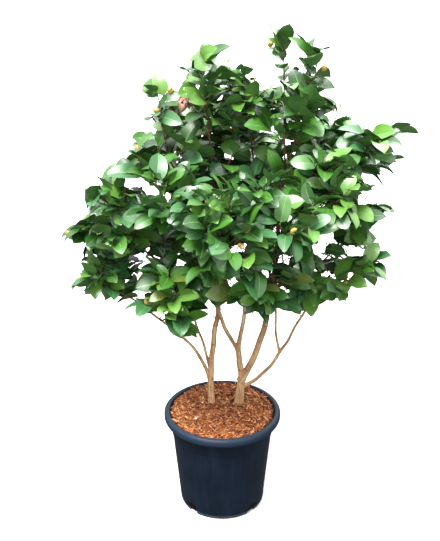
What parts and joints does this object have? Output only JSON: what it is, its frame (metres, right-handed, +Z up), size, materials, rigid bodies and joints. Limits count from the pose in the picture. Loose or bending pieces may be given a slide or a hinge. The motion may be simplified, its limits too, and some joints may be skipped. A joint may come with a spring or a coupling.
{
  "type": "camellia shrub in a pot",
  "caption": "Broad-leaved evergreen camellia shrub on forked stems, rooted in bark mulch in a round tapered nursery pot.",
  "frame": {"origin": "centre of the pot's flat underside, which the plant stands on", "axes": "+Z up, +X to the right of the side with the lower crossing bough in front, +Y to the back"},
  "size_m": [1.0642, 1.0054, 1.5346],
  "materials": {
    "pot_plastic": "dark blue-grey moulded polypropylene, satin, with pale scuffs low down",
    "mulch": "dry reddish-brown bark chips and fibres",
    "bark": "thin pale tan bark with grey-brown streaks and dark knots, browner in the crown",
    "foliage": "glossy leathery evergreen leaves, paler underneath, with tan flower buds"
  },
  "bodies": {
    "root": {"pot": "pot_plastic", "mulch": "mulch", "stem_left": "bark", "stem_right": "bark", "bough_back": "bark", "bough_back_left": "bark", "bough_back_right": "bark", "bough_cross": "bark", "bough_front": "bark", "bough_front_right": "bark", "bough_inner": "bark", "bough_left": "bark", "bough_low_back": "bark", "bough_low_left": "bark", "bough_low_right": "bark", "bough_mid_left": "bark", "bough_right": "bark", "bough_right_side": "bark", "bough_shoulder": "bark", "bough_upper_left": "bark", "leaves_back_left": "foliage", "leaves_back_left_low": "foliage", "leaves_back_low": "foliage", "leaves_back_right": "foliage", "leaves_back_top": "foliage", "leaves_far_left": "foliage", "leaves_far_right": "foliage", "leaves_front_centre": "foliage", "leaves_front_left": "foliage", "leaves_front_low": "foliage", "leaves_front_right": "foliage", "leaves_left": "foliage", "leaves_low_centre": "foliage", "leaves_low_left": "foliage", "leaves_low_left_front": "foliage", "leaves_low_right": "foliage", "leaves_right_centre": "foliage", "leaves_right_low": "foliage", "leaves_right_side": "foliage", "leaves_top_centre": "foliage", "leaves_top_left": "foliage", "leaves_top_right": "foliage", "leaves_top_shoulder": "foliage", "leaves_top_sprig": "foliage", "leaves_upper_left": "foliage", "leaves_upper_left_tip": "foliage"}
  },
  "joints": []
}
